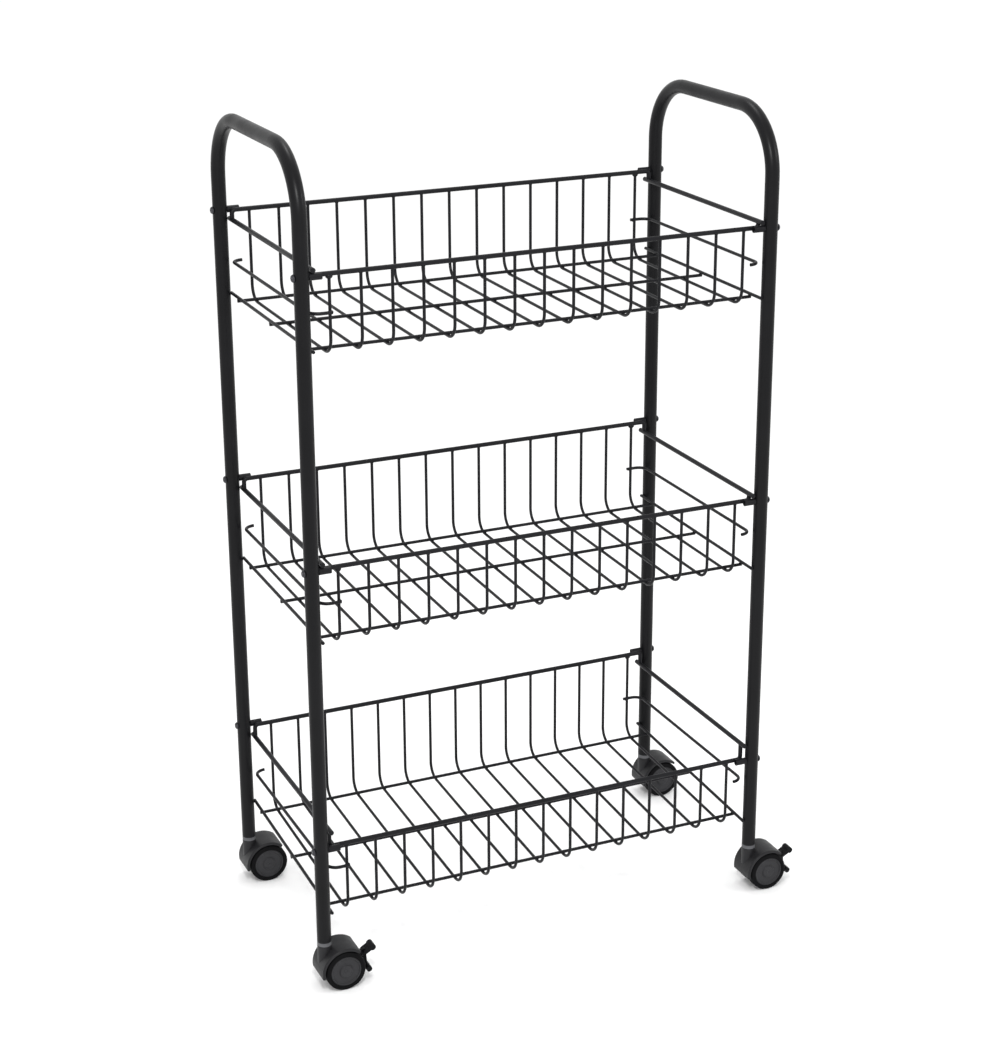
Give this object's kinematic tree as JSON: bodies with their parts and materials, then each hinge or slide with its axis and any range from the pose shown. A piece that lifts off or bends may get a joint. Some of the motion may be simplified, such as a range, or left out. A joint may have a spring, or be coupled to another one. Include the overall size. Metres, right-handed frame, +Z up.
{
  "type": "rolling pantry cart",
  "caption": "Slim rolling pantry cart: two inverted-U tube ends carry stacked open wire baskets on swivelling twin-wheel casters, the front ones with brake levers.",
  "frame": {"origin": "on the floor under the middle of the cart", "axes": "+Z up, X along the length, -Y towards the front"},
  "size_m": [0.4963, 0.249, 0.7674],
  "materials": {
    "frame_paint": "satin black powder coat on steel tube",
    "wire_paint": "satin black powder coat on steel wire",
    "screw_steel": "black oxide screw",
    "socket_plastic": "light grey moulded plastic",
    "stem_steel": "zinc-plated steel",
    "hood_plastic": "dark grey moulded nylon",
    "tyre_black": "black moulded tread",
    "hub_grey": "grey moulded nylon",
    "lever_black": "black moulded nylon"
  },
  "bodies": {
    "cart": {"left_end_frame": "frame_paint", "right_end_frame": "frame_paint", "upper_basket_rim": "wire_paint", "upper_basket_cross_wires": "wire_paint", "upper_basket_floor_wires": "wire_paint", "upper_basket_left_end_wires": "wire_paint", "upper_basket_right_end_wires": "wire_paint", "upper_basket_sleeves": "wire_paint", "upper_basket_screws": "screw_steel", "middle_basket_rim": "wire_paint", "middle_basket_cross_wires": "wire_paint", "middle_basket_floor_wires": "wire_paint", "middle_basket_left_end_wires": "wire_paint", "middle_basket_right_end_wires": "wire_paint", "middle_basket_sleeves": "wire_paint", "middle_basket_screws": "screw_steel", "lower_basket_rim": "wire_paint", "lower_basket_cross_wires": "wire_paint", "lower_basket_floor_wires": "wire_paint", "lower_basket_left_end_wires": "wire_paint", "lower_basket_right_end_wires": "wire_paint", "lower_basket_sleeves": "wire_paint", "lower_basket_screws": "screw_steel", "caster_sockets": "socket_plastic"},
    "front_left_caster": {"front_left_caster_stem": "stem_steel", "front_left_caster_hood": "hood_plastic", "front_left_caster_axle": "stem_steel", "front_left_caster_brake_pin": "stem_steel"},
    "front_left_caster_front_wheel": {"front_left_caster_front_tyre": "tyre_black", "front_left_caster_front_hub": "hub_grey"},
    "front_left_caster_back_wheel": {"front_left_caster_back_tyre": "tyre_black", "front_left_caster_back_hub": "hub_grey"},
    "front_left_caster_lever": {"front_left_caster_brake_lever": "lever_black"},
    "front_right_caster": {"front_right_caster_stem": "stem_steel", "front_right_caster_hood": "hood_plastic", "front_right_caster_axle": "stem_steel", "front_right_caster_brake_pin": "stem_steel"},
    "front_right_caster_front_wheel": {"front_right_caster_front_tyre": "tyre_black", "front_right_caster_front_hub": "hub_grey"},
    "front_right_caster_back_wheel": {"front_right_caster_back_tyre": "tyre_black", "front_right_caster_back_hub": "hub_grey"},
    "front_right_caster_lever": {"front_right_caster_brake_lever": "lever_black"},
    "rear_left_caster": {"rear_left_caster_stem": "stem_steel", "rear_left_caster_hood": "hood_plastic", "rear_left_caster_axle": "stem_steel"},
    "rear_left_caster_front_wheel": {"rear_left_caster_front_tyre": "tyre_black", "rear_left_caster_front_hub": "hub_grey"},
    "rear_left_caster_back_wheel": {"rear_left_caster_back_tyre": "tyre_black", "rear_left_caster_back_hub": "hub_grey"},
    "rear_right_caster": {"rear_right_caster_stem": "stem_steel", "rear_right_caster_hood": "hood_plastic", "rear_right_caster_axle": "stem_steel"},
    "rear_right_caster_front_wheel": {"rear_right_caster_front_tyre": "tyre_black", "rear_right_caster_front_hub": "hub_grey"},
    "rear_right_caster_back_wheel": {"rear_right_caster_back_tyre": "tyre_black", "rear_right_caster_back_hub": "hub_grey"}
  },
  "joints": [
    {"name": "front_left_swivel", "type": "hinge", "parent": "cart", "child": "front_left_caster", "pos_m": [-0.22, -0.1095, 0.045], "axis": [0, 0, 1], "continuous": true},
    {"name": "front_left_front_wheel_spin", "type": "hinge", "parent": "front_left_caster", "child": "front_left_caster_front_wheel", "pos_m": [-0.2048, -0.1095, 0.019], "axis": [0, 1, 0], "continuous": true},
    {"name": "front_left_back_wheel_spin", "type": "hinge", "parent": "front_left_caster", "child": "front_left_caster_back_wheel", "pos_m": [-0.2048, -0.1095, 0.019], "axis": [0, 1, 0], "continuous": true},
    {"name": "front_left_brake", "type": "hinge", "parent": "front_left_caster", "child": "front_left_caster_lever", "pos_m": [-0.1916, -0.1095, 0.025], "axis": [0, 1, 0], "range_deg": [0, 10]},
    {"name": "front_right_swivel", "type": "hinge", "parent": "cart", "child": "front_right_caster", "pos_m": [0.22, -0.1095, 0.045], "axis": [0, 0, 1], "continuous": true},
    {"name": "front_right_front_wheel_spin", "type": "hinge", "parent": "front_right_caster", "child": "front_right_caster_front_wheel", "pos_m": [0.2352, -0.1095, 0.019], "axis": [0, 1, 0], "continuous": true},
    {"name": "front_right_back_wheel_spin", "type": "hinge", "parent": "front_right_caster", "child": "front_right_caster_back_wheel", "pos_m": [0.2352, -0.1095, 0.019], "axis": [0, 1, 0], "continuous": true},
    {"name": "front_right_brake", "type": "hinge", "parent": "front_right_caster", "child": "front_right_caster_lever", "pos_m": [0.2484, -0.1095, 0.025], "axis": [0, 1, 0], "range_deg": [0, 10]},
    {"name": "rear_left_swivel", "type": "hinge", "parent": "cart", "child": "rear_left_caster", "pos_m": [-0.22, 0.1095, 0.045], "axis": [0, 0, 1], "continuous": true},
    {"name": "rear_left_front_wheel_spin", "type": "hinge", "parent": "rear_left_caster", "child": "rear_left_caster_front_wheel", "pos_m": [-0.2048, 0.1095, 0.019], "axis": [0, 1, 0], "continuous": true},
    {"name": "rear_left_back_wheel_spin", "type": "hinge", "parent": "rear_left_caster", "child": "rear_left_caster_back_wheel", "pos_m": [-0.2048, 0.1095, 0.019], "axis": [0, 1, 0], "continuous": true},
    {"name": "rear_right_swivel", "type": "hinge", "parent": "cart", "child": "rear_right_caster", "pos_m": [0.22, 0.1095, 0.045], "axis": [0, 0, 1], "continuous": true},
    {"name": "rear_right_front_wheel_spin", "type": "hinge", "parent": "rear_right_caster", "child": "rear_right_caster_front_wheel", "pos_m": [0.2352, 0.1095, 0.019], "axis": [0, 1, 0], "continuous": true},
    {"name": "rear_right_back_wheel_spin", "type": "hinge", "parent": "rear_right_caster", "child": "rear_right_caster_back_wheel", "pos_m": [0.2352, 0.1095, 0.019], "axis": [0, 1, 0], "continuous": true}
  ]
}
